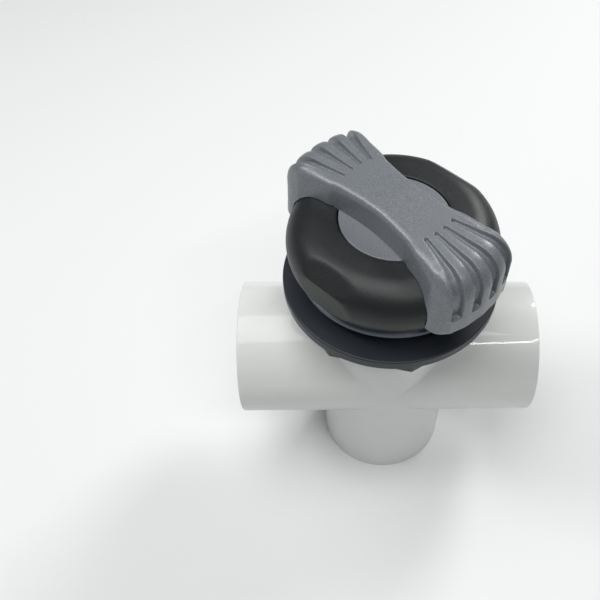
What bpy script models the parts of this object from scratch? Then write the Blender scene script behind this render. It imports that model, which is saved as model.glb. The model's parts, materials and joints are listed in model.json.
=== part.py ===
"""Three-way diverter valve for 2 inch slip pipework, as an assembly of its separate pieces.

Metres, +Z up. The origin is the centre of the bottom port's rim, +X is the run from the left port to the
right one, and +Z is the axis of the stem and handle. Heights in the shapes below are above the run's axis.
"""

import math

import bmesh
import bpy
from mathutils import Matrix

NAME = "diverter_valve"

# Where the pieces stand
AXIS_HEIGHT = 0.0824  # run axis above the bottom port's rim
HANDLE_ANGLE = math.radians(-47.5)  # the bow's direction from +X, at rest
GATE_ANGLE = math.pi  # the gate's closed side, from the bow's direction

# Valve body
PORT_OUTER = 0.0365
SOCKET_RADIUS = 0.03015
SOCKET_DEPTH = 0.038
BORE_RADIUS = 0.025
RUN_REACH = 0.0802
CHAMBER_RADIUS = 0.032
CHAMBER_FLOOR = -0.0318
NECK_RADIUS = 0.043
NECK_TOP = 0.0597
NECK_FOOT = 0.046
NECK_CONE_FOOT = 0.040  # where the neck's cone meets the upright pipe
PLUG_SEAT = 0.0497  # where the chamber widens for the bonnet's plug
PLUG_BORE = 0.038

# Neck thread: the nut turns once for one pitch
PITCH = 0.005
THREAD_START = 0.0495
THREAD_TURNS = 1.7
THREAD_CREST = 0.0446
NUT_THREAD_ROOT = 0.0453
NUT_THREAD_CREST = 0.0436
NUT_THREAD_TURNS = 1.1
RIDGE_BASE = 0.0022  # a ridge's width along the axis at its root
RIDGE_TIP = 0.0012

# Union nut
NUT_FLANGE = 0.0545
NUT_CORNER = 0.053
NUT_CORNER_ANGLE = math.radians(-81)
NUT_BOTTOM = 0.055
NUT_FLANGE_BOTTOM = 0.0616
NUT_LIP_BOTTOM = 0.0646
NUT_TOP = 0.067
NUT_OPENING = 0.0385

# Bonnet: its plug goes down into the chamber, its flange sits on the neck, its boss stands in the nut
FLANGE_RADIUS = 0.043
FLANGE_BOTTOM = 0.060
FLANGE_TOP = 0.0632
BOSS_RADIUS = 0.0374
BOSS_TOP = 0.070
CLIP_GROOVE_RADIUS = 0.0359
CLIP_GROOVE_BOTTOM = 0.0677
CLIP_GROOVE_TOP = 0.0693
PLUG_RADIUS = 0.0377
PLUG_BOTTOM = 0.050
PLUG_INNER = 0.0335
WEB_BOTTOM = 0.0595  # underside of the disc between the plug and the hub
PLUG_GROOVE_RADIUS = 0.0346
PLUG_GROOVE_BOTTOM = 0.0539
PLUG_GROOVE_TOP = 0.0573
HUB_RADIUS = 0.016
HUB_TOP = 0.074
HUB_BOTTOM = 0.046
STEM_BORE = 0.0092
KEY_WIDTH = 0.0054
KEY_ANGLE = math.radians(-90)
STOP_INNER = 0.0235  # the half ring that limits the handle's lug
STOP_OUTER = 0.030
STOP_TOP = 0.0734
STOP_FACE = 0.0029  # its two ends stand this far behind the stem's axis, for half the lug

# Stem
STEM_RADIUS = 0.0088
STEM_COLLAR = 0.014
COLLAR_TOP = 0.0450
COLLAR_BOTTOM = 0.0415
STEM_SHOULDER = 0.0767
STEM_TOP_RADIUS = 0.0072
STEM_TOP = 0.0975
STEM_FLAT = 0.0052  # half the width across the stem's two flats
FLATS_BOTTOM = 0.0801
STEM_GROOVE_RADIUS = 0.0070
STEM_GROOVES = ((0.0656, 0.0630), (0.0561, 0.0535))
CIRCLIP_GROOVE_RADIUS = 0.0076
CIRCLIP_GROOVE = (0.0757, 0.0743)
DRIVE_WIDTH = 0.013
DRIVE_BOTTOM = 0.0314
DRIVE_TOP = 0.0418
STEM_HOLE_BOTTOM = 0.084

# Gate
GATE_RADIUS = 0.0314
GATE_INNER = 0.028
GATE_BOTTOM = -0.0295
GATE_TOP = 0.032
GATE_FLOOR = 0.029  # underside of its closed top
GATE_BOSS_RADIUS = 0.012
GATE_BOSS_TOP = 0.0412
GATE_CUT = 0.0095  # the open side reaches this far past the stem's axis, towards the closed side
WINDOW_TOP = 0.027
SOCKET_FLOOR = 0.031
SEAL_OUTER = 0.0286
SEAL_INNER = 0.0263
SEAL_FLOOR = 0.0298  # the seal's groove is cut down to this radius
SEAL_BACK = 0.0301
SEAL_FACE = 0.0317

# Handle
RIM_RADIUS = 0.0467
RIM_BOTTOM = 0.0757
RIM_TOP = 0.0778
PLATE_RADIUS = 0.045
PLATE_TOP = 0.0786
HUB_RECESS_RADIUS = 0.015
HUB_RECESS_TOP = 0.0773
TOWER_TOP = 0.098
TOWER_RADIUS = 0.012
TOWER_FOOT_RADIUS = 0.0135
TOWER_TAPER_FOOT = 0.084
RING_CENTRE = 0.0361  # radius to the middle of the ring's round section
RING_MIDDLE = 0.0923  # its height
RING_SECTION = 0.0152
RING_WALL = 0.003
RING_INNER = 0.027
RING_BOTTOM = 0.0789
THUMB_FLAT_DEPTH = 0.0019  # how deep the two sloping flats cut into the ring's shoulder
THUMB_FLAT_ANGLES = (math.radians(95), math.radians(-85))
DISC_RADIUS = 0.0263
DISC_BOTTOM = 0.1035
DISC_TOP = 0.108
BOW_TOP = 0.1198
BOW_CROWN = 0.0006
BOW_REACH = 0.0572
BOW_BOTTOM = 0.0874
BOW_CORNER = 0.0125
BOW_WAIST = 0.0133  # half its width in the middle
BOW_FLARE = 0.0094  # how much wider each half is at the ends
GROOVE_DEPTH = 0.0016
GROOVE_WIDTH = 0.0027
GROOVE_START = 0.027
GROOVE_BOTTOM = 0.0965
GROOVE_SPREAD = math.radians(9.9)
GROOVE_ORIGIN = 0.0052  # the grooves of one end meet this far beyond the stem's axis
CLIP_RADIUS = 0.0188
CLIP_THICKNESS = 0.0024
CLIP_WIDTH = 0.005
CLIP_BOTTOM = 0.0744
RING_SCREW_RADIUS = 0.037
RING_POST_RADIUS = 0.0036
SCREW_HOLE_RADIUS = 0.0018
SCREW_HEAD_ROOM = 0.0031
GAP = 0.0003
OVERLAP = 0.0004  # how far a piece reaches into the one it is joined to
PASS = 0.001  # how far a cutter passes the face it cuts

FINE = 48
COARSE = 36
SMALL = 20


def clear_scene():
    for old in list(bpy.data.objects):
        bpy.data.objects.remove(old, do_unlink=True)


def new_collection(name, hidden):
    collection = bpy.data.collections.new(name)
    collection.hide_render = hidden
    bpy.context.scene.collection.children.link(collection)
    return collection


def material(name, colour, roughness, metallic=0.0):
    made = bpy.data.materials.new(name)
    made.use_nodes = True
    shader = made.node_tree.nodes["Principled BSDF"]
    shader.inputs["Base Color"].default_value = (*colour, 1.0)
    shader.inputs["Roughness"].default_value = roughness
    shader.inputs["Metallic"].default_value = metallic
    return made


clear_scene()
PARTS = new_collection(NAME, False)
CUTTERS = new_collection("cutters", True)
WHITE = material("white_pvc", (0.72, 0.71, 0.69), 0.28)
NAVY = material("nut_black", (0.018, 0.022, 0.03), 0.42)
BLACK = material("ring_black", (0.022, 0.023, 0.024), 0.5)
GREY = material("bow_grey", (0.2, 0.205, 0.22), 0.45)
ACETAL = material("acetal_black", (0.03, 0.03, 0.032), 0.4)
RUBBER = material("rubber_black", (0.012, 0.012, 0.012), 0.7)
LOW_FRICTION = material("ptfe_white", (0.8, 0.8, 0.78), 0.35)
STEEL = material("stainless", (0.62, 0.62, 0.6), 0.25, 1.0)


def frame_empty(name, parent=None, angle=0.0, height=0.0):
    empty = bpy.data.objects.new(name, None)
    PARTS.objects.link(empty)
    empty.parent = parent
    empty.location.z = height
    empty.rotation_euler.z = angle
    return empty


TEE = frame_empty("tee_centre", height=AXIS_HEIGHT)
CARTRIDGE = frame_empty("cartridge_axis", TEE)
NUT_AXIS = frame_empty("nut_axis", CARTRIDGE)
HANDLE = frame_empty("handle_axis", CARTRIDGE, HANDLE_ANGLE)
GATE_FRAME = frame_empty("gate_axis", HANDLE, GATE_ANGLE)


def placed(mesh, name, parent, helper=False):
    """A new object in its collection, under its parent empty."""
    made = bpy.data.objects.new(name, mesh)
    (CUTTERS if helper else PARTS).objects.link(made)
    made.parent = parent
    if helper:
        made.hide_render = True
        made.display_type = "WIRE"
    return made


def finish(piece, look):
    """Gives a piece its material and smooth shading with sharp edges."""
    piece.data.materials.clear()
    piece.data.materials.append(look)
    piece.data.shade_smooth()
    piece.data.set_sharp_from_angle(angle=math.radians(30))
    return piece


def turned(name, profile, parent, segments=COARSE, ring=False, helper=False, turn=1.0, rise=0.0):
    """A turned shape: the profile's (radius, height) points run down its outer side.

    A ring's profile is a closed loop round a hole. A turn and a rise make a helix of it.
    """
    shape = bmesh.new()
    points = [shape.verts.new((radius, 0.0, height)) for radius, height in profile]
    for first, second in zip(points, points[1:]):
        shape.edges.new((first, second))
    if ring:
        shape.edges.new((points[-1], points[0]))
    mesh = bpy.data.meshes.new(name)
    shape.to_mesh(mesh)
    shape.free()
    made = placed(mesh, name, parent, helper)
    screw = made.modifiers.new("turn", "SCREW")
    screw.angle = 2 * math.pi * turn
    screw.screw_offset = rise
    screw.steps = round(segments * turn)
    screw.render_steps = screw.steps
    screw.use_merge_vertices = True
    screw.merge_threshold = 0.00001
    return made


def block(name, size, centre, parent, angle=0.0, tilt=0.0, helper=True):
    """A box of this size, tilted about Y at its centre's place, then turned about Z."""
    shape = bmesh.new()
    bmesh.ops.create_cube(shape, size=1.0)
    place = Matrix.Rotation(angle, 4, "Z") @ Matrix.Translation(centre) @ Matrix.Rotation(tilt, 4, "Y")
    bmesh.ops.transform(shape, matrix=place @ Matrix.Diagonal((*size, 1.0)), verts=shape.verts)
    mesh = bpy.data.meshes.new(name)
    shape.to_mesh(mesh)
    shape.free()
    return placed(mesh, name, parent, helper)


def rod(name, radius, low, high, parent, along="Z", segments=SMALL, at=(0.0, 0.0), twist=0.0, helper=True):
    """A cylinder from low to high along an axis, standing at (x, y) when it is upright."""
    shape = bmesh.new()
    bmesh.ops.create_cone(
        shape, cap_ends=True, segments=segments, radius1=radius, radius2=radius, depth=high - low
    )
    place = Matrix.Translation((0.0, 0.0, (low + high) / 2)) @ Matrix.Rotation(twist, 4, "Z")
    if along == "X":
        place = Matrix.Rotation(math.pi / 2, 4, "Y") @ place
    place = Matrix.Translation((*at, 0.0)) @ place
    bmesh.ops.transform(shape, matrix=place, verts=shape.verts)
    mesh = bpy.data.meshes.new(name)
    shape.to_mesh(mesh)
    shape.free()
    return placed(mesh, name, parent, helper)


def combine(piece, other, operation):
    change = piece.modifiers.new(other.name, "BOOLEAN")
    change.operation = operation
    change.object = other
    return piece


def cut(piece, *cutters):
    for cutter in cutters:
        combine(piece, cutter, "DIFFERENCE")
    return piece


def join(piece, *others):
    for other in others:
        combine(piece, other, "UNION")
    return piece


def thread_ridge(name, root, crest, start, turns, parent):
    """One helical ridge, closed at both ends, to be joined to a neck or to a nut's bore."""
    outer = max(root, crest)
    inner = min(root, crest)
    outer_half = (RIDGE_TIP if crest > root else RIDGE_BASE) / 2
    inner_half = (RIDGE_BASE if crest > root else RIDGE_TIP) / 2
    profile = [
        (inner, start + inner_half),
        (outer, start + outer_half),
        (outer, start - outer_half),
        (inner, start - inner_half),
    ]
    helix = turned(name + "_helix", profile, parent, COARSE, True, True, turns, PITCH * turns)
    graph = bpy.context.evaluated_depsgraph_get()
    mesh = bpy.data.meshes.new_from_object(helix.evaluated_get(graph))
    bpy.data.objects.remove(helix)
    shape = bmesh.new()
    shape.from_mesh(mesh)
    bmesh.ops.holes_fill(shape, edges=[edge for edge in shape.edges if edge.is_boundary])
    bmesh.ops.recalc_face_normals(shape, faces=shape.faces)
    shape.to_mesh(mesh)
    shape.free()
    return placed(mesh, name, parent, True)


def socket_profile(reach):
    """The bore and the wider slip socket of a port, from the axis outwards to past its rim."""
    shoulder = reach - SOCKET_DEPTH
    return [(BORE_RADIUS, -shoulder), (SOCKET_RADIUS, -shoulder), (SOCKET_RADIUS, -reach - PASS)]


def valve_body():
    outside = [
        (0.0, NECK_TOP),
        (NECK_RADIUS, NECK_TOP),
        (NECK_RADIUS, NECK_FOOT),
        (PORT_OUTER, NECK_CONE_FOOT),
        (PORT_OUTER, -AXIS_HEIGHT),
        (0.0, -AXIS_HEIGHT),
    ]
    body = turned("valve_body", outside, TEE, FINE)
    run = rod("run_outside", PORT_OUTER, -RUN_REACH, RUN_REACH, TEE, "X", FINE, twist=math.pi / FINE)
    thread = thread_ridge(
        "neck_thread", NECK_RADIUS - OVERLAP, THREAD_CREST, THREAD_START, THREAD_TURNS, TEE
    )
    chamber = [
        (0.0, NECK_TOP + PASS),
        (PLUG_BORE, NECK_TOP + PASS),
        (PLUG_BORE, PLUG_SEAT),
        (CHAMBER_RADIUS, PLUG_SEAT),
        (CHAMBER_RADIUS, CHAMBER_FLOOR),
        (BORE_RADIUS, CHAMBER_FLOOR),
        *socket_profile(AXIS_HEIGHT),
        (0.0, -AXIS_HEIGHT - PASS),
    ]
    hollow = turned("chamber_cut", chamber, TEE, FINE, helper=True)
    right = socket_profile(RUN_REACH)
    left = [(radius, -height) for radius, height in reversed(right)]
    through = [(0.0, RUN_REACH + PASS), *left, *right, (0.0, -RUN_REACH - PASS)]
    run_bore = turned("run_bore_cut", through, TEE, FINE, helper=True)
    run_bore.rotation_euler.y = math.pi / 2
    notch_size = (0.010, KEY_WIDTH + 2 * GAP, 0.005)
    notch = block("key_notch_cut", notch_size, (0.0362, 0.0, NECK_TOP), TEE, KEY_ANGLE)
    join(body, run, thread)
    cut(body, hollow, run_bore, notch)
    return finish(body, WHITE)


def union_nut():
    edge = 0.0008
    outside = [
        (0.0, NUT_TOP),
        (NUT_FLANGE - edge, NUT_TOP),
        (NUT_FLANGE, NUT_TOP - edge),
        (NUT_FLANGE, NUT_FLANGE_BOTTOM + edge),
        (NUT_FLANGE - edge, NUT_FLANGE_BOTTOM),
        (0.0, NUT_FLANGE_BOTTOM),
    ]
    nut = turned("union_nut", outside, NUT_AXIS, FINE)
    skirt_top = NUT_FLANGE_BOTTOM + PASS
    skirt = rod(
        "nut_octagon", NUT_CORNER, NUT_BOTTOM, skirt_top, NUT_AXIS, segments=8, twist=NUT_CORNER_ANGLE
    )
    bore = [
        (0.0, NUT_TOP + PASS),
        (NUT_OPENING, NUT_TOP + PASS),
        (NUT_OPENING, NUT_LIP_BOTTOM),
        (NUT_THREAD_ROOT, NUT_LIP_BOTTOM),
        (NUT_THREAD_ROOT, NUT_BOTTOM - PASS),
        (0.0, NUT_BOTTOM - PASS),
    ]
    opening = turned("nut_bore_cut", bore, NUT_AXIS, FINE, helper=True)
    # The nut's ridge runs half a pitch and one whole turn above the neck's.
    start = THREAD_START + 1.5 * PITCH
    thread = thread_ridge(
        "nut_thread", NUT_THREAD_ROOT + OVERLAP, NUT_THREAD_CREST, start, NUT_THREAD_TURNS, NUT_AXIS
    )
    join(nut, skirt)
    cut(nut, opening)
    join(nut, thread)
    return finish(nut, NAVY)


def washer(name, inner, outer, low, high, parent, look, segments=COARSE):
    profile = [(inner, high), (outer, high), (outer, low), (inner, low)]
    return finish(turned(name, profile, parent, segments, ring=True), look)


def o_ring(name, radius, section, height, parent, segments=COARSE, sides=8):
    profile = []
    for step in range(sides):
        angle = math.pi - 2 * math.pi * (step + 0.5) / sides
        profile.append((radius + section * math.cos(angle), height + section * math.sin(angle)))
    return finish(turned(name, profile, parent, segments, ring=True), RUBBER)


def split_ring(name, inner, outer, low, high, gap, parent):
    """A flat spring ring with a gap on its +X side."""
    ring = washer(name, inner, outer, low, high, parent, STEEL, COARSE)
    size = (outer - inner + 0.006, gap, 0.006)
    cut(ring, block(name + "_gap_cut", size, ((inner + outer) / 2, 0.0, low), parent))
    return ring


def bonnet():
    profile = [
        (STEM_BORE, HUB_TOP),
        (HUB_RADIUS, HUB_TOP),
        (HUB_RADIUS, BOSS_TOP),
        (BOSS_RADIUS, BOSS_TOP),
        (BOSS_RADIUS, CLIP_GROOVE_TOP),
        (CLIP_GROOVE_RADIUS, CLIP_GROOVE_TOP),
        (CLIP_GROOVE_RADIUS, CLIP_GROOVE_BOTTOM),
        (BOSS_RADIUS, CLIP_GROOVE_BOTTOM),
        (BOSS_RADIUS, FLANGE_TOP),
        (FLANGE_RADIUS, FLANGE_TOP),
        (FLANGE_RADIUS, FLANGE_BOTTOM),
        (PLUG_RADIUS, FLANGE_BOTTOM),
        (PLUG_RADIUS, PLUG_GROOVE_TOP),
        (PLUG_GROOVE_RADIUS, PLUG_GROOVE_TOP),
        (PLUG_GROOVE_RADIUS, PLUG_GROOVE_BOTTOM),
        (PLUG_RADIUS, PLUG_GROOVE_BOTTOM),
        (PLUG_RADIUS, PLUG_BOTTOM),
        (PLUG_INNER, PLUG_BOTTOM),
        (PLUG_INNER, WEB_BOTTOM),
        (HUB_RADIUS, WEB_BOTTOM),
        (HUB_RADIUS, HUB_BOTTOM),
        (STEM_BORE, HUB_BOTTOM),
    ]
    cover = turned("bonnet", profile, CARTRIDGE, COARSE, ring=True)
    key = block("bonnet_key", (0.0045, KEY_WIDTH, 0.0030), (0.0383, 0.0, 0.0592), CARTRIDGE, KEY_ANGLE)
    foot = BOSS_TOP - OVERLAP
    around = [(STOP_INNER, STOP_TOP), (STOP_OUTER, STOP_TOP), (STOP_OUTER, foot), (STOP_INNER, foot)]
    stop = turned("bonnet_stop", around, CARTRIDGE, COARSE, ring=True, helper=True)
    half = block("stop_half_cut", (0.05, 0.08, 0.02), (0.025 - STOP_FACE, 0.0, STOP_TOP), CARTRIDGE)
    cut(stop, half)
    join(cover, key, stop)
    return finish(cover, ACETAL)


def stem_groove(radius, top, bottom):
    """A groove round the stem, as the stretch of its profile from top to bottom."""
    return [(STEM_RADIUS, top), (radius, top), (radius, bottom), (STEM_RADIUS, bottom)]


def stem():
    profile = [
        (0.0, STEM_TOP),
        (STEM_TOP_RADIUS, STEM_TOP),
        (STEM_TOP_RADIUS, STEM_SHOULDER),
        (STEM_RADIUS, STEM_SHOULDER),
        *stem_groove(CIRCLIP_GROOVE_RADIUS, *CIRCLIP_GROOVE),
    ]
    for top, bottom in STEM_GROOVES:
        profile += stem_groove(STEM_GROOVE_RADIUS, top, bottom)
    profile += [
        (STEM_RADIUS, COLLAR_TOP),
        (STEM_COLLAR, COLLAR_TOP),
        (STEM_COLLAR, COLLAR_BOTTOM),
        (0.0, COLLAR_BOTTOM),
    ]
    shaft = turned("stem", profile, HANDLE, SMALL)
    drive_height = DRIVE_TOP - DRIVE_BOTTOM
    drive_centre = (0.0, 0.0, (DRIVE_TOP + DRIVE_BOTTOM) / 2)
    drive = block("stem_drive", (DRIVE_WIDTH, DRIVE_WIDTH, drive_height), drive_centre, HANDLE)
    screw_hole = rod("stem_hole_cut", 0.0023, STEM_HOLE_BOTTOM, STEM_TOP + PASS, HANDLE, segments=12)
    join(shaft, drive)
    cut(shaft, screw_hole)
    thickness = 0.006
    height = STEM_TOP + PASS - FLATS_BOTTOM
    for side in (-1, 1):
        centre = (0.0, side * (STEM_FLAT + thickness / 2), FLATS_BOTTOM + height / 2)
        cut(shaft, block(f"stem_flat_cut_{side}", (0.02, thickness, height), centre, HANDLE))
    return finish(shaft, ACETAL)


def gate():
    """An upside-down cup with one closed side, turned by a square socket on its top."""
    profile = [
        (0.0, GATE_BOSS_TOP),
        (GATE_BOSS_RADIUS, GATE_BOSS_TOP),
        (GATE_BOSS_RADIUS, GATE_TOP),
        (GATE_RADIUS, GATE_TOP),
        (GATE_RADIUS, GATE_BOTTOM),
        (GATE_INNER, GATE_BOTTOM),
        (GATE_INNER, GATE_FLOOR),
        (0.0, GATE_FLOOR),
    ]
    drum = turned("gate", profile, GATE_FRAME, COARSE)
    socket_width = DRIVE_WIDTH + 2 * GAP
    socket_height = GATE_BOSS_TOP + PASS - SOCKET_FLOOR
    socket_size = (socket_width, socket_width, socket_height)
    socket = block("gate_socket_cut", socket_size, (0.0, 0.0, SOCKET_FLOOR + socket_height / 2), GATE_FRAME)
    window_bottom = GATE_BOTTOM + 0.0035
    length = 0.06
    window = block(
        "gate_window_cut",
        (length, 0.08, WINDOW_TOP - window_bottom),
        (GATE_CUT - length / 2, 0.0, (WINDOW_TOP + window_bottom) / 2),
        GATE_FRAME,
    )
    groove = seal_tube("seal_groove_cut", GAP, helper=True)
    groove_floor = rod("seal_groove_floor", SEAL_FLOOR, -0.05, 0.05, GATE_FRAME, segments=COARSE)
    cut(groove, groove_floor)
    cut(drum, socket, window, groove)
    return finish(drum, ACETAL)


def seal_tube(name, grow, helper=False):
    """A tube along the closed side's middle line, which the seal or its groove is a slice of."""
    near = 0.010
    far = 0.040
    outer = SEAL_OUTER + grow
    inner = SEAL_INNER - grow
    profile = [(inner, far), (outer, far), (outer, near), (inner, near)]
    tube = turned(name, profile, GATE_FRAME, COARSE, ring=True, helper=helper)
    tube.rotation_euler.y = math.pi / 2
    return tube


def gate_seal():
    """A rubber ring that lies in the gate's curved face, round the port it closes."""
    seal = seal_tube("gate_seal", 0.0)
    half = 0.045
    shell_profile = [(SEAL_BACK, half), (SEAL_FACE, half), (SEAL_FACE, -half), (SEAL_BACK, -half)]
    shell = turned("seal_shell", shell_profile, GATE_FRAME, COARSE, ring=True, helper=True)
    combine(seal, shell, "INTERSECT")
    return finish(seal, RUBBER)


def handle_base():
    profile = [
        (0.0, TOWER_TOP),
        (TOWER_RADIUS, TOWER_TOP),
        (TOWER_FOOT_RADIUS, TOWER_TAPER_FOOT),
        (TOWER_FOOT_RADIUS, PLATE_TOP),
        (PLATE_RADIUS, PLATE_TOP),
        (RIM_RADIUS, RIM_TOP),
        (RIM_RADIUS, RIM_BOTTOM),
        (HUB_RECESS_RADIUS, RIM_BOTTOM),
        (HUB_RECESS_RADIUS, HUB_RECESS_TOP),
        (0.0, HUB_RECESS_TOP),
    ]
    base = turned("handle_base", profile, HANDLE, COARSE)
    lug_middle = (STOP_INNER + STOP_OUTER) / 2
    lug = block("stop_lug", (0.0055, 0.005, 0.004), (lug_middle, 0.0, 0.0740), HANDLE, math.pi / 2)
    hole_radius = STEM_TOP_RADIUS + GAP
    flats_start = FLATS_BOTTOM + 0.0002
    round_hole = rod("base_hole_cut", hole_radius, 0.070, flats_start, HANDLE)
    flat_hole = rod("base_flat_hole_cut", hole_radius, flats_start - PASS, TOWER_TOP + PASS, HANDLE)
    across = block("base_flat_limit", (0.03, 2 * (STEM_FLAT + GAP), 0.05), (0.0, 0.0, TOWER_TOP), HANDLE)
    combine(flat_hole, across, "INTERSECT")
    join(base, lug)
    cut(base, round_hole, flat_hole)
    head_top = RIM_BOTTOM + 0.0018
    for index, at in enumerate(ring_screw_places(), 1):
        hole = rod(f"screw_hole_cut_{index}", SCREW_HOLE_RADIUS, 0.074, 0.080, HANDLE, segments=12, at=at)
        head = rod(f"screw_head_cut_{index}", SCREW_HEAD_ROOM, 0.074, head_top, HANDLE, segments=16, at=at)
        cut(base, hole, head)
    for index, angle in enumerate(clip_angles(), 1):
        slot = block(f"clip_slot_cut_{index}", (0.0046, 0.0062, 0.010), (0.0194, 0.0, 0.077), HANDLE, angle)
        cut(base, slot)
    return finish(base, GREY)


def ring_screw_places():
    """Where the four ring screws stand, half way between the clips."""
    angles = [math.radians(45 + 90 * quarter) for quarter in range(4)]
    return [(RING_SCREW_RADIUS * math.cos(angle), RING_SCREW_RADIUS * math.sin(angle)) for angle in angles]


def clip_angles():
    return [math.radians(90 * quarter) for quarter in range(4)]


def ring_outline(grow, steps=12):
    """The ring's outside, from its inner lip over the crest and down to its lower edge."""
    section = RING_SECTION + grow
    dip = 0.0012
    points = []
    for step in range(3):
        share = step / 3
        radius = RING_INNER + (RING_CENTRE - RING_INNER) * share
        points.append((radius, RING_MIDDLE + section - dip * (1 - share) ** 2))
    for step in range(steps + 1):
        angle = math.radians(90 - 140 * step / steps)
        points.append((RING_CENTRE + section * math.cos(angle), RING_MIDDLE + section * math.sin(angle)))
    return points


def grip_ring():
    """A hollow ring, open below, with a post for each screw and two thumb flats."""
    outside = ring_outline(0.0)
    last_radius = outside[-1][0]
    hollow_top = RING_MIDDLE + RING_SECTION - RING_WALL
    inside = []
    for step in range(7):
        angle = math.radians(-50 + 140 * step / 6)
        reach = RING_SECTION - RING_WALL
        inside.append((RING_CENTRE + reach * math.cos(angle), RING_MIDDLE + reach * math.sin(angle)))
    profile = [
        *outside,
        (last_radius - OVERLAP, RING_BOTTOM),
        (inside[0][0], RING_BOTTOM),
        *inside,
        (RING_INNER + RING_WALL, hollow_top - 0.002),
        (RING_INNER + RING_WALL, RING_BOTTOM),
        (RING_INNER, RING_BOTTOM),
    ]
    ring = turned("grip_ring", profile, HANDLE, COARSE, ring=True)
    top = hollow_top + PASS
    for index, at in enumerate(ring_screw_places(), 1):
        join(ring, rod(f"ring_post_{index}", RING_POST_RADIUS, RING_BOTTOM, top, HANDLE, segments=16, at=at))
    pilot_bottom = RING_BOTTOM - PASS
    for index, at in enumerate(ring_screw_places(), 1):
        cut(ring, rod(f"ring_pilot_cut_{index}", 0.0017, pilot_bottom, 0.093, HANDLE, segments=12, at=at))
    thickness = 0.012
    offset = (RING_SECTION - THUMB_FLAT_DEPTH + thickness / 2) / math.sqrt(2)
    for index, angle in enumerate(THUMB_FLAT_ANGLES, 1):
        centre = (RING_CENTRE + offset, 0.0, RING_MIDDLE + offset)
        size = (0.04, 0.06, thickness)
        flat = block(f"thumb_flat_cut_{index}", size, centre, HANDLE, angle, math.radians(45))
        cut(ring, flat)
    return finish(ring, BLACK)


def bow_half_width(along):
    """Half the bow's width at a distance along it: a narrow waist that opens to fan-shaped ends."""
    return BOW_WAIST + BOW_FLARE * (abs(along) / 0.054) ** 1.9


def bow_outline():
    """Half widths on both sides, as a closed outline seen from above."""
    steps = 13
    reach = BOW_REACH + 0.004
    stations = [-reach + 2 * reach * step / steps for step in range(steps + 1)]
    near = [(along, -bow_half_width(along)) for along in stations]
    far = [(along, bow_half_width(along)) for along in reversed(stations)]
    return near + far


def prism(name, outline, half_depth, parent):
    """A flat outline filled as a curve, extruded both ways, and made a closed mesh."""
    curve = bpy.data.curves.new(name, "CURVE")
    curve.dimensions = "2D"
    curve.fill_mode = "BOTH"
    curve.extrude = half_depth
    spline = curve.splines.new("POLY")
    spline.points.add(len(outline) - 1)
    for point, (x, y) in zip(spline.points, outline):
        point.co = (x, y, 0.0, 1.0)
    spline.use_cyclic_u = True
    drawn = bpy.data.objects.new(name + "_curve", curve)
    CUTTERS.objects.link(drawn)
    graph = bpy.context.evaluated_depsgraph_get()
    mesh = bpy.data.meshes.new_from_object(drawn.evaluated_get(graph))
    bpy.data.objects.remove(drawn)
    shape = bmesh.new()
    shape.from_mesh(mesh)
    bmesh.ops.remove_doubles(shape, verts=shape.verts, dist=0.000001)
    bmesh.ops.recalc_face_normals(shape, faces=shape.faces)
    shape.to_mesh(mesh)
    shape.free()
    return placed(mesh, name, parent, True)


def bow_side(inset, low):
    """The bow seen from its side: a slightly crowned top and a round corner over each leg."""
    reach = BOW_REACH - inset
    top = BOW_TOP - inset
    corner = BOW_CORNER - inset
    steps = 7
    points = [(-reach, low)]
    for side in (-1, 1):
        for step in range(steps + 1):
            angle = math.pi / 2 * (step / steps if side < 0 else 1 - step / steps)
            points.append(
                (side * (reach - corner + corner * math.cos(angle)), top - corner + corner * math.sin(angle))
            )
        if side < 0:
            points.append((0.0, top + BOW_CROWN))
    points.append((reach, low))
    return points


def bow_envelope(name, inset, low):
    """The bow's outside: its side view, cut round to its reach from the stem's axis."""
    side = prism(name, bow_side(inset, low), 0.04, HANDLE)
    side.rotation_euler.x = math.pi / 2
    round_end = rod(name + "_round", BOW_REACH - inset, low - 0.01, 0.14, HANDLE, segments=72)
    combine(side, round_end, "INTERSECT")
    return side


def groove_cutters():
    """Four slots at each end that follow the top and the outside of the leg to an even depth."""
    core = bow_envelope("groove_core", GROOVE_DEPTH, 0.07)
    cutters = []
    for end in (0, 1):
        for index in range(4):
            lean = (index - 1.5) * GROOVE_SPREAD
            length = 0.045
            height = 0.040
            out = GROOVE_START + GROOVE_ORIGIN + length / 2
            centre = (
                out - GROOVE_ORIGIN * math.cos(lean),
                GROOVE_ORIGIN * math.sin(lean),
                GROOVE_BOTTOM + height / 2,
            )
            size = (length, GROOVE_WIDTH, height)
            slot = block(f"groove_{end}_{index}", size, centre, HANDLE, math.pi * end + lean)
            cut(slot, core)
            cutters.append(slot)
    return cutters


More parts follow.
